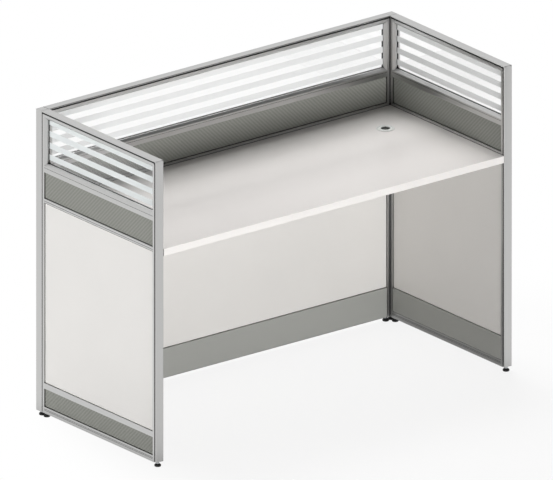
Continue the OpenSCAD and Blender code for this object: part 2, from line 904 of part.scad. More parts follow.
module right_raceway_cover() { color(cover_grey) place("right") raceway_cover("right"); }
module left_corner_post() { color(silver) bored_post(); }
module right_corner_post() { color(silver) mirror([1, 0, 0]) bored_post(); }
module corner_post_caps() { color(silver) left_and_right() post_cap(); }
module front_end_trims() { color(silver) left_and_right() place("left") front_end_trim(); }
module trim_corners() { color(silver) left_and_right() place("left") trim_corner(); }
module frosted_strips() { color(film_white) for (side = SIDES) place(side) strips(side); }
module glazing_gaskets() { color(black) for (side = SIDES) place(side) gasket(side); }
module worktop() { color(board_white) worktop_core(); }
module worktop_edge_band() { color(board_white) edge_bands(); }
module worktop_brackets() { color(steel) for (side = SIDES) brackets(side); }
module wood_screws() {
    color(steel)
        for (side = SIDES)
            for (vertical = [true, false])
                at_angles(side) angle_screws(side, vertical) wood_screw();
}
module grommet_liner() { color(cover_grey) liner(); }
module grommet_cap() { color(cover_grey) cap(); }
module cover_clips() { color(black) for (side = SIDES) place(side) clips(side); }
module connector_bolts() {
    color(steel) {
        left_and_right() place("left") connector("left");
        place("back") connector("back");
        place("back") translate([back_l, 0, 0]) mirror([1, 0, 0]) connector("back");
    }
}
module frame_screws() {
    color(steel)
        for (side = SIDES)
            place(side) {
                rail_screws();
                translate([screen_l(side) - tail(side), 0, 0]) mirror([1, 0, 0]) rail_screws();
            }
}
module foot_plugs() { color(black) all_plugs(); }
module left_front_foot_pad() { color(black) foot_pad("left_front"); }
module left_rear_foot_pad() { color(black) foot_pad("left_rear"); }
module left_corner_foot_pad() { color(black) foot_pad("left_corner"); }
module back_left_foot_pad() { color(black) foot_pad("back_left"); }
module back_right_foot_pad() { color(black) foot_pad("back_right"); }
module right_corner_foot_pad() { color(black) foot_pad("right_corner"); }
module right_rear_foot_pad() { color(black) foot_pad("right_rear"); }
module right_front_foot_pad() { color(black) foot_pad("right_front"); }
module left_front_foot_stem() { color(steel) foot_stem("left_front"); }
module left_rear_foot_stem() { color(steel) foot_stem("left_rear"); }
module left_corner_foot_stem() { color(steel) foot_stem("left_corner"); }
module back_left_foot_stem() { color(steel) foot_stem("back_left"); }
module back_right_foot_stem() { color(steel) foot_stem("back_right"); }
module right_corner_foot_stem() { color(steel) foot_stem("right_corner"); }
module right_rear_foot_stem() { color(steel) foot_stem("right_rear"); }
module right_front_foot_stem() { color(steel) foot_stem("right_front"); }

back_stiles();
back_rails();
back_top_cap();
back_window_beads();
back_glass();
back_tiles();
back_base_tile();
back_boards();
back_raceway_cover();
left_stiles();
left_rails();
left_top_cap();
left_window_beads();
left_glass();
left_tiles();
left_base_tile();
left_boards();
left_raceway_cover();
right_stiles();
right_rails();
right_top_cap();
right_window_beads();
right_glass();
right_tiles();
right_base_tile();
right_boards();
right_raceway_cover();
left_corner_post();
right_corner_post();
corner_post_caps();
front_end_trims();
trim_corners();
frosted_strips();
glazing_gaskets();
worktop();
worktop_edge_band();
worktop_brackets();
wood_screws();
grommet_liner();
grommet_cap();
cover_clips();
connector_bolts();
frame_screws();
foot_plugs();
left_front_foot_pad();
left_rear_foot_pad();
left_corner_foot_pad();
back_left_foot_pad();
back_right_foot_pad();
right_corner_foot_pad();
right_rear_foot_pad();
right_front_foot_pad();
left_front_foot_stem();
left_rear_foot_stem();
left_corner_foot_stem();
back_left_foot_stem();
back_right_foot_stem();
right_corner_foot_stem();
right_rear_foot_stem();
right_front_foot_stem();
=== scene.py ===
import math

import bmesh
import bpy
from mathutils import Matrix, Vector


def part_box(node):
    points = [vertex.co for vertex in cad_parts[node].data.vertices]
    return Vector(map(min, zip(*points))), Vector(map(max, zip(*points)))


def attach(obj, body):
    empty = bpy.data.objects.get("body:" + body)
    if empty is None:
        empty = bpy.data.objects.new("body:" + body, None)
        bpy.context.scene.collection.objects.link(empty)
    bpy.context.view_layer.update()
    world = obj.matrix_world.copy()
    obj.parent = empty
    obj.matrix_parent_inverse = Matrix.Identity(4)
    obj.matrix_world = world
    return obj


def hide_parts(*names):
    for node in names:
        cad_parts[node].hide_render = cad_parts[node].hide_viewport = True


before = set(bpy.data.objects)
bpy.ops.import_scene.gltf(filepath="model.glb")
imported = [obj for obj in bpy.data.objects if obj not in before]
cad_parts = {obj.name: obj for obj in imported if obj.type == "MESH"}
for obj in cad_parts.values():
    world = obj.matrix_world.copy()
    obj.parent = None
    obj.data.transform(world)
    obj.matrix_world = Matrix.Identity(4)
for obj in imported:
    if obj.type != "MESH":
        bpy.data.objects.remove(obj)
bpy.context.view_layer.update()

# Aluminium frames: stiles, rails, posts, caps, trims and window beads, extruded in lengths,
# cut, satin anodised and screwed together through the rails' ports. The skin is a soft
# silver grey with faint die lines along each length, with painted shade in grooves and
# joints.
SIDES = ("back", "left", "right")
DIE_LINE_PITCH = 0.9 / 1000
DIE_LINE_LENGTH = 0.25
DIE_LINE_DEPTH = 0.02 / 1000
SATIN_FROM = 0.32
SATIN_TO = 0.44
# Painted shade in hollows: how far round a point is looked, and the open shares where it is
# painted dark and where it is left lit
GROOVES = (2 / 1000, 0.6, 0.8)
JOINTS = (12 / 1000, 0.3, 0.55)
HOLLOW_RAYS = 8


def linear(code):
    """An sRGB hex value as a linear colour."""
    parts = [int(code[i:i + 2], 16) / 255 for i in (1, 3, 5)]
    curve = [p / 12.92 if p <= 0.04045 else ((p + 0.055) / 1.055) ** 2.4 for p in parts]
    return (*curve, 1)


def node(tree, kind, inputs=None, **settings):
    """Adds a node with its own settings, and each input as a value or a link."""
    made = tree.nodes.new(kind)
    for name, value in settings.items():
        setattr(made, name, value)
    for key, value in (inputs or {}).items():
        if isinstance(value, bpy.types.NodeSocket):
            tree.links.new(value, made.inputs[key])
        else:
            made.inputs[key].default_value = value
    return made


def new_finish(name):
    """A material with a Principled shader alone: the material, its tree and the shader."""
    material = bpy.data.materials.new(name)
    material.use_nodes = True
    tree = material.node_tree
    return material, tree, tree.nodes["Principled BSDF"]


def painted_hollow_shade(tree, colour, dark, hollows=(GROOVES, JOINTS), alone=False):
    """The colour with painted shade, turned dark in hollows that let in little light. With
    alone, only the piece's own walls make a hollow."""
    for reach, closed, open_wide in hollows:
        open_air = node(tree, "ShaderNodeAmbientOcclusion", {"Distance": reach},
                        samples=HOLLOW_RAYS, only_local=alone)
        lit = node(tree, "ShaderNodeMapRange", {
            "Value": open_air.outputs["AO"], "From Min": closed, "From Max": open_wide})
        colour = node(tree, "ShaderNodeMix", {
            "Factor": lit.outputs["Result"], "A": linear(dark), "B": colour},
            data_type="RGBA").outputs["Result"]
    return colour


def anodised_aluminium(along):
    """Satin anodised extrusion whose die lines run along x, y or z."""
    material, tree, shader = new_finish(f"anodised_aluminium_{along}")
    place = node(tree, "ShaderNodeTexCoord").outputs["Object"]
    scale = [1 / DIE_LINE_PITCH] * 3
    scale["xyz".index(along)] = 1 / DIE_LINE_LENGTH
    lines = node(tree, "ShaderNodeMapping", {"Vector": place, "Scale": scale})
    grain = node(tree, "ShaderNodeTexNoise", {
        "Vector": lines.outputs["Vector"], "Scale": 1.0, "Detail": 2.0})
    skin = node(tree, "ShaderNodeMix", {
        "Factor": grain.outputs["Fac"], "A": linear("#C2C2C1"), "B": linear("#D0D0CF")},
        data_type="RGBA")
    # Painted shade: the skin turns near black in grooves and joints, where little light gets
    # in
    colour = painted_hollow_shade(tree, skin.outputs["Result"], "#2C2C2B")
    rough = node(tree, "ShaderNodeMapRange", {
        "Value": grain.outputs["Fac"], "To Min": SATIN_FROM, "To Max": SATIN_TO})
    bump = node(tree, "ShaderNodeBump", {
        "Height": grain.outputs["Fac"], "Strength": 0.25, "Distance": DIE_LINE_DEPTH})
    tree.links.new(colour, shader.inputs["Base Color"])
    tree.links.new(rough.outputs["Result"], shader.inputs["Roughness"])
    tree.links.new(bump.outputs["Normal"], shader.inputs["Normal"])
    shader.inputs["Metallic"].default_value = 1.0
    return material


def dress(name, material):
    """Gives a CAD node its finish."""
    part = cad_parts[name]
    part.data.materials.clear()
    part.data.materials.append(material)


aluminium = {along: anodised_aluminium(along) for along in "xyz"}
for side in SIDES:
    along = "x" if side == "back" else "y"
    dress(f"{side}_stiles", aluminium["z"])
    for piece in ("rails", "top_cap", "window_beads"):
        dress(f"{side}_{piece}", aluminium[along])
for name in ("left_corner_post", "right_corner_post", "front_end_trims"):
    dress(name, aluminium["z"])
for name in ("corner_post_caps", "trim_corners"):
    dress(name, aluminium["x"])

# Glass panes: 5 mm clear float glass, cut square and held in the window between two rubber
# frames. It is colourless, and shows only as a faint sheen and a darker edge.


def clear_glass():
    """Clear float glass that lets the lamps' light straight through."""
    material, tree, shader = new_finish("clear_float_glass")
    shader.inputs["Base Color"].default_value = linear("#FFFFFF")
    shader.inputs["Roughness"].default_value = 0.0
    shader.inputs["Transmission Weight"].default_value = 1.0
    path = node(tree, "ShaderNodeLightPath")
    lights = node(tree, "ShaderNodeMath", {
        0: path.outputs["Is Shadow Ray"], 1: path.outputs["Is Diffuse Ray"]},
        operation="MAXIMUM")
    through = node(tree, "ShaderNodeBsdfTransparent", {"Color": linear("#F8FAFA")})
    mix = node(tree, "ShaderNodeMixShader", {
        0: lights.outputs["Value"], 1: shader.outputs["BSDF"], 2: through.outputs["BSDF"]})
    tree.links.new(mix.outputs["Shader"], tree.nodes["Material Output"].inputs["Surface"])
    return material


glass = clear_glass()
for side in SIDES:
    dress(f"{side}_glass", glass)

# Rubber frames: black extruded rubber pressed in between the glass and the beads, so that
# only a thin dark line shows round each window.
BLOOM = 2.5 / 1000


def black_rubber():
    """Matt extruded rubber with a faint grey bloom."""
    material, tree, shader = new_finish("black_extruded_rubber")
    place = node(tree, "ShaderNodeTexCoord").outputs["Object"]
    bloom = node(tree, "ShaderNodeTexNoise", {"Vector": place, "Scale": 1 / BLOOM})
    colour = node(tree, "ShaderNodeMix", {
        "Factor": bloom.outputs["Fac"], "A": linear("#1B1B1B"), "B": linear("#2A2A2A")},
        data_type="RGBA")
    tree.links.new(colour.outputs["Result"], shader.inputs["Base Color"])
    shader.inputs["Roughness"].default_value = 0.75
    return material


dress("glazing_gaskets", black_rubber())

# Frosted strips: white film, cut in even bands and stuck on the inner face of each pane.
# It hides what is behind it, with a soft matt face.
STRIP_COUNT = 4
STRIP_HEIGHT = 20 / 1000
STRIP_PITCH = 40.5 / 1000
STRIP_THICK = 0.3 / 1000
STRIP_MARGIN = 7.1 / 1000
ETCH = 0.8 / 1000
ETCH_DEPTH = 0.02 / 1000


def frosted_film():
    """Matt white film with a fine etched grain."""
    material, tree, shader = new_finish("frosted_white_film")
    place = node(tree, "ShaderNodeTexCoord").outputs["Object"]
    etch = node(tree, "ShaderNodeTexNoise", {
        "Vector": place, "Scale": 1 / ETCH, "Detail": 1.0})
    colour = node(tree, "ShaderNodeMix", {
        "Factor": etch.outputs["Fac"], "A": linear("#F0F1F1"), "B": linear("#F7F8F8")},
        data_type="RGBA")
    bump = node(tree, "ShaderNodeBump", {
        "Height": etch.outputs["Fac"], "Strength": 0.2, "Distance": ETCH_DEPTH})
    tree.links.new(colour.outputs["Result"], shader.inputs["Base Color"])
    tree.links.new(bump.outputs["Normal"], shader.inputs["Normal"])
    shader.inputs["Roughness"].default_value = 0.5
    return material


def new_tree(name, given):
    """A geometry tree with named inputs: the tree, their sockets and their outputs in it."""
    tree = bpy.data.node_groups.new(name, "GeometryNodeTree")
    tree.interface.new_socket("Geometry", in_out="OUTPUT", socket_type="NodeSocketGeometry")
    sockets = {label: tree.interface.new_socket(
        label, in_out="INPUT", socket_type=f"NodeSocket{kind}")
        for label, kind in given.items()}
    return tree, sockets, node(tree, "NodeGroupInput").outputs


def strips_tree(material):
    """Geometry nodes that stack one strip's box in even steps up a pane."""
    tree, sockets, given = new_tree("stacked_strips", {
        "Size": "Vector", "Lowest": "Vector", "Pitch": "Float", "Count": "Int"})
    step = node(tree, "ShaderNodeCombineXYZ", {"Z": given["Pitch"]})
    places = node(tree, "GeometryNodeMeshLine", {
        "Count": given["Count"], "Start Location": given["Lowest"],
        "Offset": step.outputs["Vector"]})
    strip = node(tree, "GeometryNodeMeshCube", {"Size": given["Size"]})
    stack = node(tree, "GeometryNodeInstanceOnPoints", {
        "Points": places.outputs["Mesh"], "Instance": strip.outputs["Mesh"]})
    whole = node(tree, "GeometryNodeRealizeInstances", {
        "Geometry": stack.outputs["Instances"]})
    done = node(tree, "GeometryNodeSetMaterial", {
        "Geometry": whole.outputs["Geometry"], "Material": material})
    node(tree, "NodeGroupOutput", {"Geometry": done.outputs["Geometry"]})
    return tree, sockets


def grown(name, tree, sockets, values):
    """An object with the plain mesh that a geometry tree makes from the named values."""
    holder = bpy.data.objects.new(name, bpy.data.meshes.new(name))
    bpy.context.scene.collection.objects.link(holder)
    modifier = holder.modifiers.new("grow", "NODES")
    modifier.node_group = tree
    for key, value in values.items():
        modifier[sockets[key].identifier] = value
    ready = holder.evaluated_get(bpy.context.evaluated_depsgraph_get())
    mesh = bpy.data.meshes.new_from_object(ready)
    holder.modifiers.remove(modifier)
    holder.data = mesh
    return holder


film = frosted_film()
film_tree, film_sockets = strips_tree(film)
film_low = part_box("frosted_strips")[0]
for side in SIDES:
    pane_low, pane_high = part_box(f"{side}_glass")
    across = 1 if side == "back" else 0
    along = 1 - across
    inner = pane_high[across] if side == "left" else pane_low[across]
    inward = 1 if side == "left" else -1
    size = [0, 0, STRIP_HEIGHT]
    size[across] = STRIP_THICK
    size[along] = pane_high[along] - pane_low[along] - 2 * STRIP_MARGIN
    lowest = [0, 0, film_low.z + STRIP_HEIGHT / 2]
    lowest[across] = inner + inward * STRIP_THICK / 2
    lowest[along] = (pane_low[along] + pane_high[along]) / 2
    strips = grown(f"{side}_frosted_strips", film_tree, film_sockets, {
        "Size": size, "Lowest": lowest, "Pitch": STRIP_PITCH, "Count": STRIP_COUNT})
    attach(strips, "root")
    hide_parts("frosted_strips")

# Tiles over the worktop and at the foot of the outer faces: fibreboard wrapped in a grey
# fabric with a fine diagonal twill. The real twill is finer than the render can show, so
# its ridges are drawn as coarse as they need to be seen.
TWILL_PITCH = 9.9 / 1000
THREAD_PITCH = 1.6 / 1000
YARN_HEIGHT = 0.4 / 1000
# The pitch of the wave texture's bands at a scale of 1, along one axis
WAVE_PITCH = 2 * math.pi / 10
TILE_ARRIS = 0.8 / 1000
SAME_SPOT = 1e-6
FLAT_WITHIN = math.radians(1)
ARRIS_FROM = math.radians(40)
ARRIS_STEPS = 3
CREASE_FROM = math.radians(35)
# A face of more square metres than this is shaded flat, so that it takes the light evenly
LARGE_FACE = 0.001


def soften(name, radius):
    """A copy of a CAD node with its loose triangles merged and its arrises rounded."""
    piece = bpy.data.objects.new(f"{name}_shown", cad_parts[name].data.copy())
    bpy.context.scene.collection.objects.link(piece)
    weld = piece.modifiers.new("weld", "WELD")
    weld.merge_threshold = SAME_SPOT
    flat = piece.modifiers.new("flat", "DECIMATE")
    flat.decimate_type = "DISSOLVE"
    flat.angle_limit = FLAT_WITHIN
    bevel = piece.modifiers.new("arris", "BEVEL")
    bevel.width = radius
    bevel.segments = ARRIS_STEPS
    bevel.limit_method = "ANGLE"
    bevel.angle_limit = ARRIS_FROM
    ready = piece.evaluated_get(bpy.context.evaluated_depsgraph_get())
    mesh = bpy.data.meshes.new_from_object(ready)
    piece.modifiers.clear()
    piece.data = mesh
    mesh.shade_smooth()
    mesh.set_sharp_from_angle(angle=CREASE_FROM)
    for face in mesh.polygons:
        face.use_smooth = face.area < LARGE_FACE
    return piece


def show(name, material, radius, body="root"):
    """Stands a softened copy in a CAD node's place, with its finish and body."""
    piece = soften(name, radius)
    piece.data.materials.clear()
    piece.data.materials.append(material)
    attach(piece, body)
    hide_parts(name)


def twill_fabric():
    """Grey polyester twill: diagonal ridges, crossed by the fine threads between them."""
    material, tree, shader = new_finish("grey_twill_fabric")
    place = node(tree, "ShaderNodeTexCoord").outputs["Object"]
    ridges = node(tree, "ShaderNodeTexWave", {
        "Vector": place, "Scale": WAVE_PITCH / (TWILL_PITCH * math.sqrt(2)),
        "Distortion": 0.15, "Detail": 1.0}, bands_direction="DIAGONAL")
    threads = node(tree, "ShaderNodeTexVoronoi", {
        "Vector": place, "Scale": 1 / THREAD_PITCH})
    mixed = node(tree, "ShaderNodeMath", {
        0: ridges.outputs["Fac"], 1: threads.outputs["Distance"]}, operation="ADD")
    height = node(tree, "ShaderNodeMath", {0: mixed.outputs["Value"], 1: 0.5},
                  operation="MULTIPLY")
    colour = node(tree, "ShaderNodeMix", {
        "Factor": height.outputs["Value"], "A": linear("#7C7D77"), "B": linear("#9A9B95")},
        data_type="RGBA")
    bump = node(tree, "ShaderNodeBump", {
        "Height": height.outputs["Value"], "Strength": 0.5, "Distance": YARN_HEIGHT})
    # Painted shade: the fabric turns near black in joints and grooves, where little light
    # gets in
    colour = painted_hollow_shade(tree, colour.outputs["Result"], "#2E2E2B")
    tree.links.new(colour, shader.inputs["Base Color"])
    tree.links.new(bump.outputs["Normal"], shader.inputs["Normal"])
    shader.inputs["Roughness"].default_value = 0.9
    shader.inputs["Sheen Weight"].default_value = 0.1
    return material


twill = twill_fabric()
for side in SIDES:
    show(f"{side}_tiles", twill, TILE_ARRIS)
    show(f"{side}_base_tile", twill, TILE_ARRIS)

# Boards below the worktop and the worktop itself: particle board pressed with a warm white
# laminate. The face is satin, with the slight pebble of the press plate.
PEBBLE = 1.4 / 1000
PEBBLE_DEPTH = 0.03 / 1000
CLOUDS_PER_METRE = 6.0
BOARD_ARRIS = 0.4 / 1000


def white_laminate(name, dark, light, rough):
    """Pressed laminate: an almost even colour with a shallow pebble."""
    material, tree, shader = new_finish(name)
    place = node(tree, "ShaderNodeTexCoord").outputs["Object"]
    pebble = node(tree, "ShaderNodeTexNoise", {
        "Vector": place, "Scale": 1 / PEBBLE, "Detail": 2.0})
    cloud = node(tree, "ShaderNodeTexNoise", {"Vector": place, "Scale": CLOUDS_PER_METRE})
    colour = node(tree, "ShaderNodeMix", {
        "Factor": cloud.outputs["Fac"], "A": linear(dark), "B": linear(light)},
        data_type="RGBA")
    bump = node(tree, "ShaderNodeBump", {
        "Height": pebble.outputs["Fac"], "Strength": 0.15, "Distance": PEBBLE_DEPTH})
    # Painted shade: the laminate turns near black in gaps and joints, where little light
    # gets in
    colour = painted_hollow_shade(tree, colour.outputs["Result"], "#2E2E2C")
    tree.links.new(colour, shader.inputs["Base Color"])
    tree.links.new(bump.outputs["Normal"], shader.inputs["Normal"])
    shader.inputs["Roughness"].default_value = rough
    return material


board_white = white_laminate("warm_white_board_laminate", "#E3E1DE", "#E7E5E2", 0.5)
top_white = white_laminate("warm_white_top_laminate", "#E2DEDB", "#E6E2DF", 0.34)
for side in SIDES:
    show(f"{side}_boards", board_white, BOARD_ARRIS)
dress("worktop", top_white)

# Edge band: 2 mm plastic strip glued round the worktop, with its long arrises scraped round.
# It is a shade paler than the faces, and reads as a light line along the front.
band = white_laminate("warm_white_edge_band", "#E8E5E2", "#ECE9E6", 0.38)
dress("worktop_edge_band", band)

# Skirting covers: folded sheet with a smooth grey coat, pressed on to clips over the cable
# raceway at the foot of each inner face. The coat is even, with a soft, broad sheen.
ORANGE_PEEL = 2.2 / 1000
PEEL_DEPTH = 0.03 / 1000
COVER_ARRIS = 0.6 / 1000


def grey_coat(name, dark, light, rough):
    """Powder coat with a slight orange peel."""
    material, tree, shader = new_finish(name)
    place = node(tree, "ShaderNodeTexCoord").outputs["Object"]
    peel = node(tree, "ShaderNodeTexNoise", {"Vector": place, "Scale": 1 / ORANGE_PEEL})
    colour = node(tree, "ShaderNodeMix", {
        "Factor": peel.outputs["Fac"], "A": linear(dark), "B": linear(light)},
        data_type="RGBA")
    bump = node(tree, "ShaderNodeBump", {
        "Height": peel.outputs["Fac"], "Strength": 0.2, "Distance": PEEL_DEPTH})
    tree.links.new(colour.outputs["Result"], shader.inputs["Base Color"])
    tree.links.new(bump.outputs["Normal"], shader.inputs["Normal"])
    shader.inputs["Roughness"].default_value = rough
    return material


cover_coat = grey_coat("grey_powder_coat", "#A0A19D", "#A8A9A5", 0.42)
for side in SIDES:
    show(f"{side}_raceway_cover", cover_coat, COVER_ARRIS, f"{side}_cover")

# Angles under the worktop: folded steel, screwed to the worktop and to the boards. Their
# silver grey powder coat is paler than the covers', with the same broad sheen.
ANGLE_ARRIS = 0.5 / 1000
bracket_coat = grey_coat("silver_grey_powder_coat", "#BEBFBD", "#C8C9C7", 0.45)
show("worktop_brackets", bracket_coat, ANGLE_ARRIS)

# Wood screws: zinc plated steel, with a low round head, a cross recess and a rolled thread.
# They hold the angles to the worktop and to the boards. The plating is bright, with a faint
# blue cast and cloudy patches.
SCREW_RADIUS = 2 / 1000
SCREW_LENGTH = 16 / 1000
SCREW_PITCH = 1.8 / 1000
SCREW_THREAD = 0.55 / 1000
SCREW_AROUND = 12
SCREW_RINGS = 44
HEAD_RADIUS = 4 / 1000
HEAD_HEIGHT = 2.6 / 1000
HEAD_AROUND = 32
# The block that cuts a head's dome flat, in head radii
BLOCK_WIDE = 3.0
# Points further from a screw's axis than this share of its head's radius are on the head
HEAD_SHARE = 0.8
RECESS_LENGTH = 4.6 / 1000
RECESS_WIDTH = 1.1 / 1000
RECESS_DEPTH = 1.5 / 1000
RECESS_TURNS = (math.radians(45), math.radians(135))
ZINC_CLOUD = 3 / 1000


def zinc_plate():
    """Bright zinc plating."""
    material, tree, shader = new_finish("bright_zinc_plate")
    place = node(tree, "ShaderNodeTexCoord").outputs["Object"]
    cloud = node(tree, "ShaderNodeTexNoise", {"Vector": place, "Scale": 1 / ZINC_CLOUD})
    colour = node(tree, "ShaderNodeMix", {
        "Factor": cloud.outputs["Fac"], "A": linear("#BCC0C4"), "B": linear("#D2D5D8")},
        data_type="RGBA")
    rough = node(tree, "ShaderNodeMapRange", {
        "Value": cloud.outputs["Fac"], "To Min": 0.2, "To Max": 0.36})
    tree.links.new(colour.outputs["Result"], shader.inputs["Base Color"])
    tree.links.new(rough.outputs["Result"], shader.inputs["Roughness"])
    shader.inputs["Metallic"].default_value = 1.0
    return material


def thread_tree():
    """Geometry nodes for a threaded rod along Z, its middle at the origin: a fine cylinder
    whose points step in and out as they go round and up."""
    tree, _, given = new_tree("threaded_rod", {
        "Radius": "Float", "Length": "Float", "Pitch": "Float", "Depth": "Float",
        "Around": "Int", "Rings": "Int"})
    rod = node(tree, "GeometryNodeMeshCylinder", {
        "Vertices": given["Around"], "Side Segments": given["Rings"],
        "Radius": given["Radius"], "Depth": given["Length"]}, fill_type="NGON")
    point = node(tree, "ShaderNodeSeparateXYZ", {
        "Vector": node(tree, "GeometryNodeInputPosition").outputs["Position"]}).outputs
    angle = node(tree, "ShaderNodeMath", {0: point["Y"], 1: point["X"]}, operation="ARCTAN2")
    turn = node(tree, "ShaderNodeMath", {0: angle.outputs["Value"], 1: 2 * math.pi},
                operation="DIVIDE")
    rise = node(tree, "ShaderNodeMath", {0: point["Z"], 1: given["Pitch"]},
                operation="DIVIDE")
    along = node(tree, "ShaderNodeMath", {
        0: rise.outputs["Value"], 1: turn.outputs["Value"]}, operation="SUBTRACT")
    groove = node(tree, "ShaderNodeMath", {0: along.outputs["Value"], 1: 0.5},
                  operation="PINGPONG")
    depth = node(tree, "ShaderNodeMath", {
        0: groove.outputs["Value"], 1: given["Depth"]}, operation="MULTIPLY")
    twice = node(tree, "ShaderNodeMath", {0: depth.outputs["Value"], 1: -2.0},
                 operation="MULTIPLY")
    flat = node(tree, "ShaderNodeCombineXYZ", {"X": point["X"], "Y": point["Y"]})
    outward = node(tree, "ShaderNodeVectorMath", {0: flat.outputs["Vector"]},
                   operation="NORMALIZE")
    shift = node(tree, "ShaderNodeVectorMath", {
        0: outward.outputs["Vector"], "Scale": twice.outputs["Value"]}, operation="SCALE")
    cut = node(tree, "GeometryNodeSetPosition", {
        "Geometry": rod.outputs["Mesh"], "Offset": shift.outputs["Vector"]})
    node(tree, "NodeGroupOutput", {"Geometry": cut.outputs["Geometry"]})
    return tree


def screws_tree(thread, material):
    """Geometry nodes that set one cross-recess screw at each place, turned to its axis."""
    tree, sockets, given = new_tree("wood_screws", {
        "Places": "Object", "Head Radius": "Float", "Head Height": "Float",
        "Radius": "Float", "Length": "Float", "Pitch": "Float", "Depth": "Float",
        "Recess": "Vector"})
    half = node(tree, "ShaderNodeMath", {0: given["Length"], 1: 0.5}, operation="MULTIPLY")
    shank_at = node(tree, "ShaderNodeCombineXYZ", {"Z": half.outputs["Value"]})
    rod = node(tree, "GeometryNodeGroup", node_tree=thread)
    for label in ("Radius", "Length", "Pitch", "Depth"):
        tree.links.new(given[label], rod.inputs[label])
    rod.inputs["Around"].default_value = SCREW_AROUND
    rod.inputs["Rings"].default_value = SCREW_RINGS
    shank = node(tree, "GeometryNodeTransform", {
        "Geometry": rod.outputs["Geometry"], "Translation": shank_at.outputs["Vector"]})
    dome = node(tree, "GeometryNodeMeshUVSphere", {
        "Segments": HEAD_AROUND, "Rings": HEAD_AROUND // 2,
        "Radius": given["Head Radius"]})
    tall = node(tree, "ShaderNodeMath", {
        0: given["Head Height"], 1: given["Head Radius"]}, operation="DIVIDE")
    low = node(tree, "ShaderNodeCombineXYZ", {
        "X": 1.0, "Y": 1.0, "Z": tall.outputs["Value"]})
    pan = node(tree, "GeometryNodeTransform", {
        "Geometry": dome.outputs["Mesh"], "Scale": low.outputs["Vector"]})
    wide = node(tree, "ShaderNodeMath", {0: given["Head Radius"], 1: BLOCK_WIDE},
                operation="MULTIPLY")
    lower = node(tree, "ShaderNodeMath", {0: wide.outputs["Value"], 1: 0.5},
                 operation="MULTIPLY")
    under = node(tree, "GeometryNodeTransform", {
        "Geometry": node(tree, "GeometryNodeMeshCube", {
            "Size": node(tree, "ShaderNodeCombineXYZ", {
                "X": wide.outputs["Value"], "Y": wide.outputs["Value"],
                "Z": wide.outputs["Value"]}).outputs["Vector"]}).outputs["Mesh"],
        "Translation": node(tree, "ShaderNodeCombineXYZ", {
            "Z": lower.outputs["Value"]}).outputs["Vector"]})
    slot = node(tree, "GeometryNodeMeshCube", {"Size": given["Recess"]})
    top = node(tree, "ShaderNodeMath", {0: given["Head Height"], 1: -1.0},
               operation="MULTIPLY")
    slot_at = node(tree, "ShaderNodeCombineXYZ", {"Z": top.outputs["Value"]})
    slots = [node(tree, "GeometryNodeTransform", {
        "Geometry": slot.outputs["Mesh"], "Translation": slot_at.outputs["Vector"],
        "Rotation": (0, 0, angle)}).outputs["Geometry"]
        for angle in RECESS_TURNS]
    head = pan.outputs["Geometry"]
    for cutter in (under.outputs["Geometry"], *slots):
        carve = node(tree, "GeometryNodeMeshBoolean", {"Mesh 1": head},
                     operation="DIFFERENCE")
        tree.links.new(cutter, carve.inputs["Mesh 2"])
        head = carve.outputs["Mesh"]
    screw = node(tree, "GeometryNodeJoinGeometry")
    tree.links.new(head, screw.inputs["Geometry"])
    tree.links.new(shank.outputs["Geometry"], screw.inputs["Geometry"])
    places = node(tree, "GeometryNodeObjectInfo", {"Object": given["Places"]})
    axis = node(tree, "GeometryNodeInputNamedAttribute", {"Name": "axis"},
                data_type="FLOAT_VECTOR")
    aim = node(tree, "FunctionNodeAlignRotationToVector", {
        "Vector": axis.outputs["Attribute"]}, axis="Z")
    all_screws = node(tree, "GeometryNodeInstanceOnPoints", {
        "Points": places.outputs["Geometry"], "Instance": screw.outputs["Geometry"],
        "Rotation": aim.outputs["Rotation"]})
    whole = node(tree, "GeometryNodeRealizeInstances", {
        "Geometry": all_screws.outputs["Instances"]})
    done = node(tree, "GeometryNodeSetMaterial", {
        "Geometry": whole.outputs["Geometry"], "Material": material})
    node(tree, "NodeGroupOutput", {"Geometry": done.outputs["Geometry"]})
    return tree, sockets


def screw_places(name):
    """Where each screw's head meets its angle, and which way the screw points."""
    shape = bmesh.new()
    shape.from_mesh(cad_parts[name].data)
    bmesh.ops.remove_doubles(shape, verts=shape.verts, dist=SAME_SPOT)
    left = set(shape.verts)
    places = []
    while left:
        part, edge = set(), [left.pop()]
        while edge:
            point = edge.pop()
            part.add(point)
            near = {link.other_vert(point) for link in point.link_edges} & left
            left -= near
            edge.extend(near)
        spots = [point.co.copy() for point in part]
        low = Vector([min(spot[i] for spot in spots) for i in range(3)])
        high = Vector([max(spot[i] for spot in spots) for i in range(3)])
        middle = (low + high) / 2
        size = high - low
        long = max(range(3), key=lambda i: size[i])
        wide = [spot[long] for spot in spots
                if (spot - middle).length_squared - (spot[long] - middle[long]) ** 2
                > (HEAD_RADIUS * HEAD_SHARE) ** 2]
        points_up = sum(wide) / len(wide) < middle[long]
        axis = Vector((0, 0, 0))
        axis[long] = 1 if points_up else -1
        seat = middle.copy()
        seat[long] = low[long] + HEAD_HEIGHT if points_up else high[long] - HEAD_HEIGHT
        places.append((seat, axis))
    shape.free()
    return places


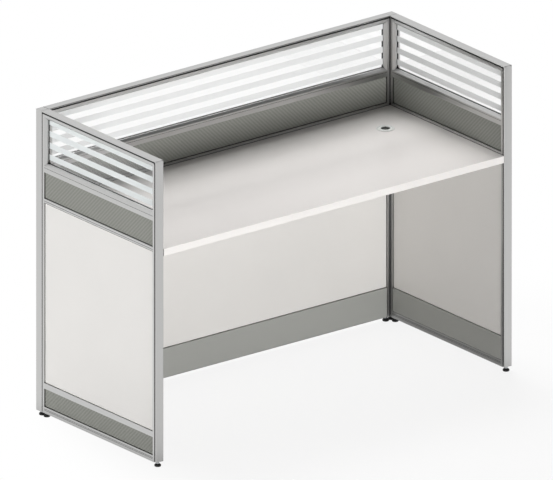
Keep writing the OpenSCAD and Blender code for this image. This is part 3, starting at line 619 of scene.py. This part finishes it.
zinc = zinc_plate()
thread = thread_tree()
places = screw_places("wood_screws")
seats = bpy.data.meshes.new("screw_seats")
seats.from_pydata([seat for seat, _ in places], [], [])
axes = seats.attributes.new("axis", "FLOAT_VECTOR", "POINT")
for i, (_, axis) in enumerate(places):
    axes.data[i].vector = axis
seats_holder = bpy.data.objects.new("screw_seats", seats)
screw_tree, screw_sockets = screws_tree(thread, zinc)
screws = grown("wood_screws_shown", screw_tree, screw_sockets, {
    "Places": seats_holder, "Head Radius": HEAD_RADIUS, "Head Height": HEAD_HEIGHT,
    "Radius": SCREW_RADIUS, "Length": SCREW_LENGTH, "Pitch": SCREW_PITCH,
    "Depth": SCREW_THREAD, "Recess": (RECESS_LENGTH, RECESS_WIDTH, 2 * RECESS_DEPTH)})
bpy.data.objects.remove(seats_holder)
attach(screws, "root")
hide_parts("wood_screws")

# Connector bolts and frame screws: the same zinc plated steel, inside the frames, where
# they pull the stiles on to the corner posts and the rails on to the stiles.
for name in ("connector_bolts", "frame_screws"):
    dress(name, zinc)

# Grommet: moulded pale grey ABS, a flanged liner pressed into the worktop and a lift-out
# cap with a cable hole. Its face is a soft satin, and the bore is painted dark below its
# edge, as painted shade where little light gets in.
# Painted shade down the bore: how far round a point is looked, and the open shares where it
# is dark and lit
BORE = (40 / 1000, 0.8, 0.95)
MOULD_GRAIN = 0.6 / 1000
MOULD_DEPTH = 0.02 / 1000
LINER_ARRIS = 0.3 / 1000
CAP_ARRIS = 0.4 / 1000


def moulded_plastic(name, dark, light, rough, painted_shade=None):
    """Moulded plastic with a fine spark-eroded grain, and, when a shade colour is given,
    painted shade in grooves and deep inside.
    """
    material, tree, shader = new_finish(name)
    place = node(tree, "ShaderNodeTexCoord").outputs["Object"]
    grain = node(tree, "ShaderNodeTexNoise", {"Vector": place, "Scale": 1 / MOULD_GRAIN})
    bump = node(tree, "ShaderNodeBump", {
        "Height": grain.outputs["Fac"], "Strength": 0.25, "Distance": MOULD_DEPTH})
    colour = node(tree, "ShaderNodeMix", {
        "Factor": grain.outputs["Fac"], "A": linear(dark), "B": linear(light)},
        data_type="RGBA").outputs["Result"]
    # Painted shade: near black in grooves, and down the bore where little light gets in
    if painted_shade:
        colour = painted_hollow_shade(tree, colour, painted_shade, (GROOVES,))
        colour = painted_hollow_shade(tree, colour, painted_shade, (BORE,), alone=True)
    tree.links.new(colour, shader.inputs["Base Color"])
    tree.links.new(bump.outputs["Normal"], shader.inputs["Normal"])
    shader.inputs["Roughness"].default_value = rough
    return material


grommet_grey = moulded_plastic(
    "pale_grey_moulded_abs", "#DEDFDC", "#E6E7E4", 0.4, painted_shade="#0C0C0C")
show("grommet_liner", grommet_grey, LINER_ARRIS)
show("grommet_cap", grommet_grey, CAP_ARRIS, "cap")

# Plugs and clips: black moulded nylon, near black with a dull sheen. The plugs sit in the
# feet of the stiles and posts, and the clips hold the skirting covers.
nylon = moulded_plastic("black_moulded_nylon", "#161616", "#212121", 0.45)
for name in ("cover_clips", "foot_plugs"):
    dress(name, nylon)

# Levelling feet: a black nylon pad that the stem turns in, and a zinc plated M6 stem with a
# hexagon for the spanner. The thread shows once a foot is wound out.
STEM_RADIUS = 2.95 / 1000
STEM_PITCH = 1 / 1000
STEM_THREAD = 0.6 / 1000
STEM_AROUND = 20
RINGS_A_TURN = 5
HEX_LOW = 9 / 1000
HEX_HIGH = 17 / 1000
HEX_FLATS = 10 / 1000
HEX_CHAMFER = 0.7 / 1000
HEX_END_SHARE = 0.88
PAD_ARRIS = 0.4 / 1000


def stem_tree(thread, material):
    """Geometry nodes for a threaded stem with a chamfered hexagon."""
    tree, sockets, given = new_tree("foot_stem", {
        "Foot": "Vector", "Radius": "Float", "Length": "Float", "Pitch": "Float",
        "Depth": "Float", "Rings": "Int", "Hex Radius": "Float", "Hex Height": "Float",
        "Hex Middle": "Float", "Chamfer": "Float"})
    rod = node(tree, "GeometryNodeGroup", node_tree=thread)
    for label in ("Radius", "Length", "Pitch", "Depth", "Rings"):
        tree.links.new(given[label], rod.inputs[label])
    rod.inputs["Around"].default_value = STEM_AROUND
    hexagon = node(tree, "GeometryNodeMeshCylinder", {
        "Vertices": 6, "Side Segments": 3, "Radius": given["Hex Radius"],
        "Depth": given["Hex Height"]}, fill_type="NGON")
    point = node(tree, "ShaderNodeSeparateXYZ", {
        "Vector": node(tree, "GeometryNodeInputPosition").outputs["Position"]}).outputs
    height = node(tree, "ShaderNodeMath", {0: point["Z"]}, operation="ABSOLUTE")
    third = node(tree, "ShaderNodeMath", {0: given["Hex Height"], 1: 3.0},
                 operation="DIVIDE")
    at_end = node(tree, "ShaderNodeMath", {
        0: height.outputs["Value"], 1: third.outputs["Value"]}, operation="GREATER_THAN")
    narrow = node(tree, "ShaderNodeMapRange", {
        "Value": at_end.outputs["Value"], "To Min": 1.0, "To Max": HEX_END_SHARE})
    half = node(tree, "ShaderNodeMath", {0: given["Hex Height"], 1: 0.5},
                operation="MULTIPLY")
    inset = node(tree, "ShaderNodeMath", {
        0: half.outputs["Value"], 1: given["Chamfer"]}, operation="SUBTRACT")
    level = node(tree, "ShaderNodeMapRange", {
        "Value": at_end.outputs["Value"], "To Min": inset.outputs["Value"],
        "To Max": half.outputs["Value"]})
    side_of = node(tree, "ShaderNodeMath", {0: point["Z"]}, operation="SIGN")
    new_z = node(tree, "ShaderNodeMath", {
        0: level.outputs["Result"], 1: side_of.outputs["Value"]}, operation="MULTIPLY")
    new_x, new_y = (node(tree, "ShaderNodeMath", {
        0: point[axis], 1: narrow.outputs["Result"]}, operation="MULTIPLY").outputs["Value"]
        for axis in "XY")
    place = node(tree, "ShaderNodeCombineXYZ", {
        "X": new_x, "Y": new_y, "Z": new_z.outputs["Value"]})
    nut = node(tree, "GeometryNodeSetPosition", {
        "Geometry": hexagon.outputs["Mesh"], "Position": place.outputs["Vector"]})
    lift = node(tree, "ShaderNodeCombineXYZ", {"Z": given["Hex Middle"]})
    raised = node(tree, "GeometryNodeTransform", {
        "Geometry": nut.outputs["Geometry"], "Translation": lift.outputs["Vector"]})
    both = node(tree, "GeometryNodeJoinGeometry")
    tree.links.new(rod.outputs["Geometry"], both.inputs["Geometry"])
    tree.links.new(raised.outputs["Geometry"], both.inputs["Geometry"])
    stood = node(tree, "GeometryNodeTransform", {
        "Geometry": both.outputs["Geometry"], "Translation": given["Foot"]})
    whole = node(tree, "GeometryNodeRealizeInstances", {
        "Geometry": stood.outputs["Geometry"]})
    done = node(tree, "GeometryNodeSetMaterial", {
        "Geometry": whole.outputs["Geometry"], "Material": material})
    node(tree, "NodeGroupOutput", {"Geometry": done.outputs["Geometry"]})
    return tree, sockets


foot_tree, foot_sockets = stem_tree(thread, zinc)
for name in [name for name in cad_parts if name.endswith("_foot_stem")]:
    foot = name.removesuffix("_foot_stem")
    low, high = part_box(name)
    middle = (low + high) / 2
    length = high.z - low.z
    stem = grown(f"{name}_shown", foot_tree, foot_sockets, {
        "Foot": middle, "Radius": STEM_RADIUS, "Length": length,
        "Pitch": STEM_PITCH, "Depth": STEM_THREAD,
        "Rings": round(length / STEM_PITCH * RINGS_A_TURN),
        "Hex Radius": HEX_FLATS / math.sqrt(3),
        "Hex Height": HEX_HIGH - HEX_LOW, "Hex Middle": (HEX_LOW + HEX_HIGH) / 2 - middle.z,
        "Chamfer": HEX_CHAMFER})
    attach(stem, f"{foot}_stem")
    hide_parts(name)
    show(f"{foot}_foot_pad", nylon, PAD_ARRIS, f"{foot}_pad")

# Camera: the photograph's view from the front left, without perspective. The middle of its
# frame lies to the right of the origin and above it, as seen in that view.
AZIMUTH = math.radians(-38.0)
ELEVATION = math.radians(20.5)
VIEW_WIDTH = 1.7914
VIEW_RIGHT = 0.0084
VIEW_UP = 0.4937
VIEW_DISTANCE = 4.0
back = Vector((math.sin(AZIMUTH) * math.cos(ELEVATION),
               -math.cos(AZIMUTH) * math.cos(ELEVATION), math.sin(ELEVATION)))
turn = back.to_track_quat("Z", "Y")
lens = bpy.data.cameras.new("camera")
lens.type = "ORTHO"
lens.ortho_scale = VIEW_WIDTH
camera = bpy.data.objects.new("camera", lens)
bpy.context.scene.collection.objects.link(camera)
stand = turn @ Vector((VIEW_RIGHT, VIEW_UP, 0)) + back * VIEW_DISTANCE
camera.matrix_world = Matrix.Translation(stand) @ turn.to_matrix().to_4x4()
bpy.context.scene.camera = camera

# Studio: a plain white floor that keeps a faint shadow near the object, in a white
# surround. Glossy faces see a painted reflection: the surround darker in front and overhead,
# the floor darker at the far right, and the floor darker under the desk as painted shade.
FLOOR_SIZE = 30.0
FLOOR_GLOW_NEAR = 0.86
SHADOW_MIDDLE = (0.3, -0.35, 0.0)
SHADOW_FADES_FROM = 0.85
SHADOW_FADES_BY = 1.3
# Painted reflection: glossy faces see the floor darker beyond this line, far to the right
DARK_REFLECTION_WAY = (0.78, 0.62, 0.0)
DARK_REFLECTION_AT = 1.1
DARK_REFLECTION_BLUR = 0.2
DARK_REFLECTION_LEVEL = 0.2
# Painted shade in reflections: glossy faces see the floor darker under the desk
FOOTPRINT = (0.74, 0.36)
FOOTPRINT_BLUR = 0.12
UNDER_SHADE_LEVEL = 0.25
# Levels of the surround, and the parts of its unit sphere over which they change
SKY_LEVEL = 0.15
FRONT_LEVEL = 0.12
FRONT_BLUR = 0.35
OVERHEAD_LEVEL = 0.85
OVERHEAD_FROM = 0.5
OVERHEAD_BY = 0.7


def seen_directly(tree):
    """1 for rays that should meet plain white: from the camera, off metal, through glass."""
    path = node(tree, "ShaderNodeLightPath")
    gloss = node(tree, "ShaderNodeMath", {
        0: path.outputs["Is Camera Ray"], 1: path.outputs["Is Glossy Ray"]},
        operation="MAXIMUM")
    return node(tree, "ShaderNodeMath", {
        0: gloss.outputs["Value"], 1: path.outputs["Is Transmission Ray"]},
        operation="MAXIMUM").outputs["Value"]


def off_metal(tree):
    """1 for rays that come off a glossy face, and 0 for those that passed through glass."""
    path = node(tree, "ShaderNodeLightPath")
    return node(tree, "ShaderNodeMath", {
        0: path.outputs["Is Glossy Ray"], 1: path.outputs["Is Transmission Ray"]},
        operation="SUBTRACT", use_clamp=True).outputs["Value"]


def white_floor():
    """Studio floor: mostly white by itself where it is seen, and the rest takes shadow."""
    material, tree, shader = new_finish("studio_floor")
    shader.inputs["Base Color"].default_value = linear("#F4F4F4")
    shader.inputs["Roughness"].default_value = 1.0
    place = node(tree, "ShaderNodeTexCoord").outputs["Object"]
    away = node(tree, "ShaderNodeVectorMath", {0: place, 1: SHADOW_MIDDLE},
                operation="DISTANCE")
    fade = node(tree, "ShaderNodeMapRange", {
        "Value": away.outputs["Value"], "From Min": SHADOW_FADES_FROM,
        "From Max": SHADOW_FADES_BY, "To Min": FLOOR_GLOW_NEAR, "To Max": 1.0},
        interpolation_type="SMOOTHSTEP")
    # Painted reflection and painted shade, seen only off glossy faces
    far_right = node(tree, "ShaderNodeVectorMath", {0: place, 1: DARK_REFLECTION_WAY},
                     operation="DOT_PRODUCT")
    dark_reflection = node(tree, "ShaderNodeMapRange", {
        "Value": far_right.outputs["Value"], "From Min": DARK_REFLECTION_AT - DARK_REFLECTION_BLUR,
        "From Max": DARK_REFLECTION_AT + DARK_REFLECTION_BLUR, "To Min": 1.0, "To Max": DARK_REFLECTION_LEVEL})
    spread = node(tree, "ShaderNodeSeparateXYZ", {"Vector": node(
        tree, "ShaderNodeVectorMath", {0: place}, operation="ABSOLUTE").outputs["Vector"]})
    inside = [node(tree, "ShaderNodeMapRange", {
        "Value": spread.outputs[axis], "From Min": edge - FOOTPRINT_BLUR,
        "From Max": edge + FOOTPRINT_BLUR, "To Min": 1.0, "To Max": 0.0},
        interpolation_type="SMOOTHSTEP").outputs["Result"]
        for axis, edge in zip("XY", FOOTPRINT)]
    under = node(tree, "ShaderNodeMath", {0: inside[0], 1: inside[1]},
                 operation="MULTIPLY")
    shade = node(tree, "ShaderNodeMapRange", {
        "Value": under.outputs["Value"], "To Min": 1.0, "To Max": UNDER_SHADE_LEVEL})
    mirrored = node(tree, "ShaderNodeMath", {
        0: dark_reflection.outputs["Result"], 1: shade.outputs["Result"]}, operation="MULTIPLY")
    strength = node(tree, "ShaderNodeMix", {
        "Factor": off_metal(tree), "A": 1.0, "B": mirrored.outputs["Value"]})
    glow = node(tree, "ShaderNodeEmission", {
        "Color": (1, 1, 1, 1), "Strength": strength.outputs["Result"]})
    share = node(tree, "ShaderNodeMath", {
        0: seen_directly(tree), 1: fade.outputs["Result"]}, operation="MULTIPLY")
    mix = node(tree, "ShaderNodeMixShader", {
        0: share.outputs["Value"], 1: shader.outputs["BSDF"], 2: glow.outputs["Emission"]})
    tree.links.new(mix.outputs["Shader"], tree.nodes["Material Output"].inputs["Surface"])
    return material


floor_mesh = bpy.data.meshes.new("floor")
half = FLOOR_SIZE / 2
corners = [(-half, -half, 0), (half, -half, 0), (half, half, 0), (-half, half, 0)]
floor_mesh.from_pydata(corners, [], [(0, 1, 2, 3)])
floor_mesh.materials.append(white_floor())
floor = bpy.data.objects.new("floor", floor_mesh)
bpy.context.scene.collection.objects.link(floor)

world = bpy.data.worlds.new("surround")
world.use_nodes = True
sky = world.node_tree
way = node(sky, "ShaderNodeSeparateXYZ", {
    "Vector": node(sky, "ShaderNodeTexCoord").outputs["Generated"]})
behind = node(sky, "ShaderNodeMapRange", {
    "Value": way.outputs["Y"], "From Min": -FRONT_BLUR, "From Max": FRONT_BLUR,
    "To Min": FRONT_LEVEL, "To Max": 1.0}, interpolation_type="SMOOTHSTEP")
overhead = node(sky, "ShaderNodeMapRange", {
    "Value": way.outputs["Z"], "From Min": OVERHEAD_FROM, "From Max": OVERHEAD_BY,
    "To Min": 1.0, "To Max": OVERHEAD_LEVEL}, interpolation_type="SMOOTHSTEP")
mirrored = node(sky, "ShaderNodeMath", {
    0: behind.outputs["Result"], 1: overhead.outputs["Result"]}, operation="MULTIPLY")
surround = node(sky, "ShaderNodeMix", {
    "Factor": off_metal(sky), "A": 1.0, "B": mirrored.outputs["Value"]})
level = node(sky, "ShaderNodeMix", {
    "Factor": seen_directly(sky), "A": SKY_LEVEL, "B": surround.outputs["Result"]})
sky.links.new(level.outputs["Result"], sky.nodes["Background"].inputs["Strength"])
sky.nodes["Background"].inputs["Color"].default_value = (1, 1, 1, 1)
bpy.context.scene.world = world

LAMPS_AIM = Vector((0, 0, 0.5))
# Each lamp: where it stands, its width, its height and its power
LAMPS = {
    "left": ((-4.0, 0.3, 0.8), 1.6, 1.6, 58.0),
    "front": ((-0.8, -4.5, 0.4), 3.0, 0.7, 142.0),
    "behind": ((0.4, 4.2, 4.2), 1.0, 1.0, 85.0),
    "above": ((1.2, 1.6, 4.5), 2.0, 2.0, 146.0),
}
for name, (stand, width, height, power) in LAMPS.items():
    light = bpy.data.lights.new(name, "AREA")
    light.shape = "RECTANGLE"
    light.size = width
    light.size_y = height
    light.energy = power
    lamp = bpy.data.objects.new(name, light)
    lamp.visible_glossy = False
    bpy.context.scene.collection.objects.link(lamp)
    aim = (LAMPS_AIM - Vector(stand)).to_track_quat("-Z", "Y")
    lamp.matrix_world = Matrix.Translation(stand) @ aim.to_matrix().to_4x4()

bpy.context.scene.view_settings.view_transform = "Standard"
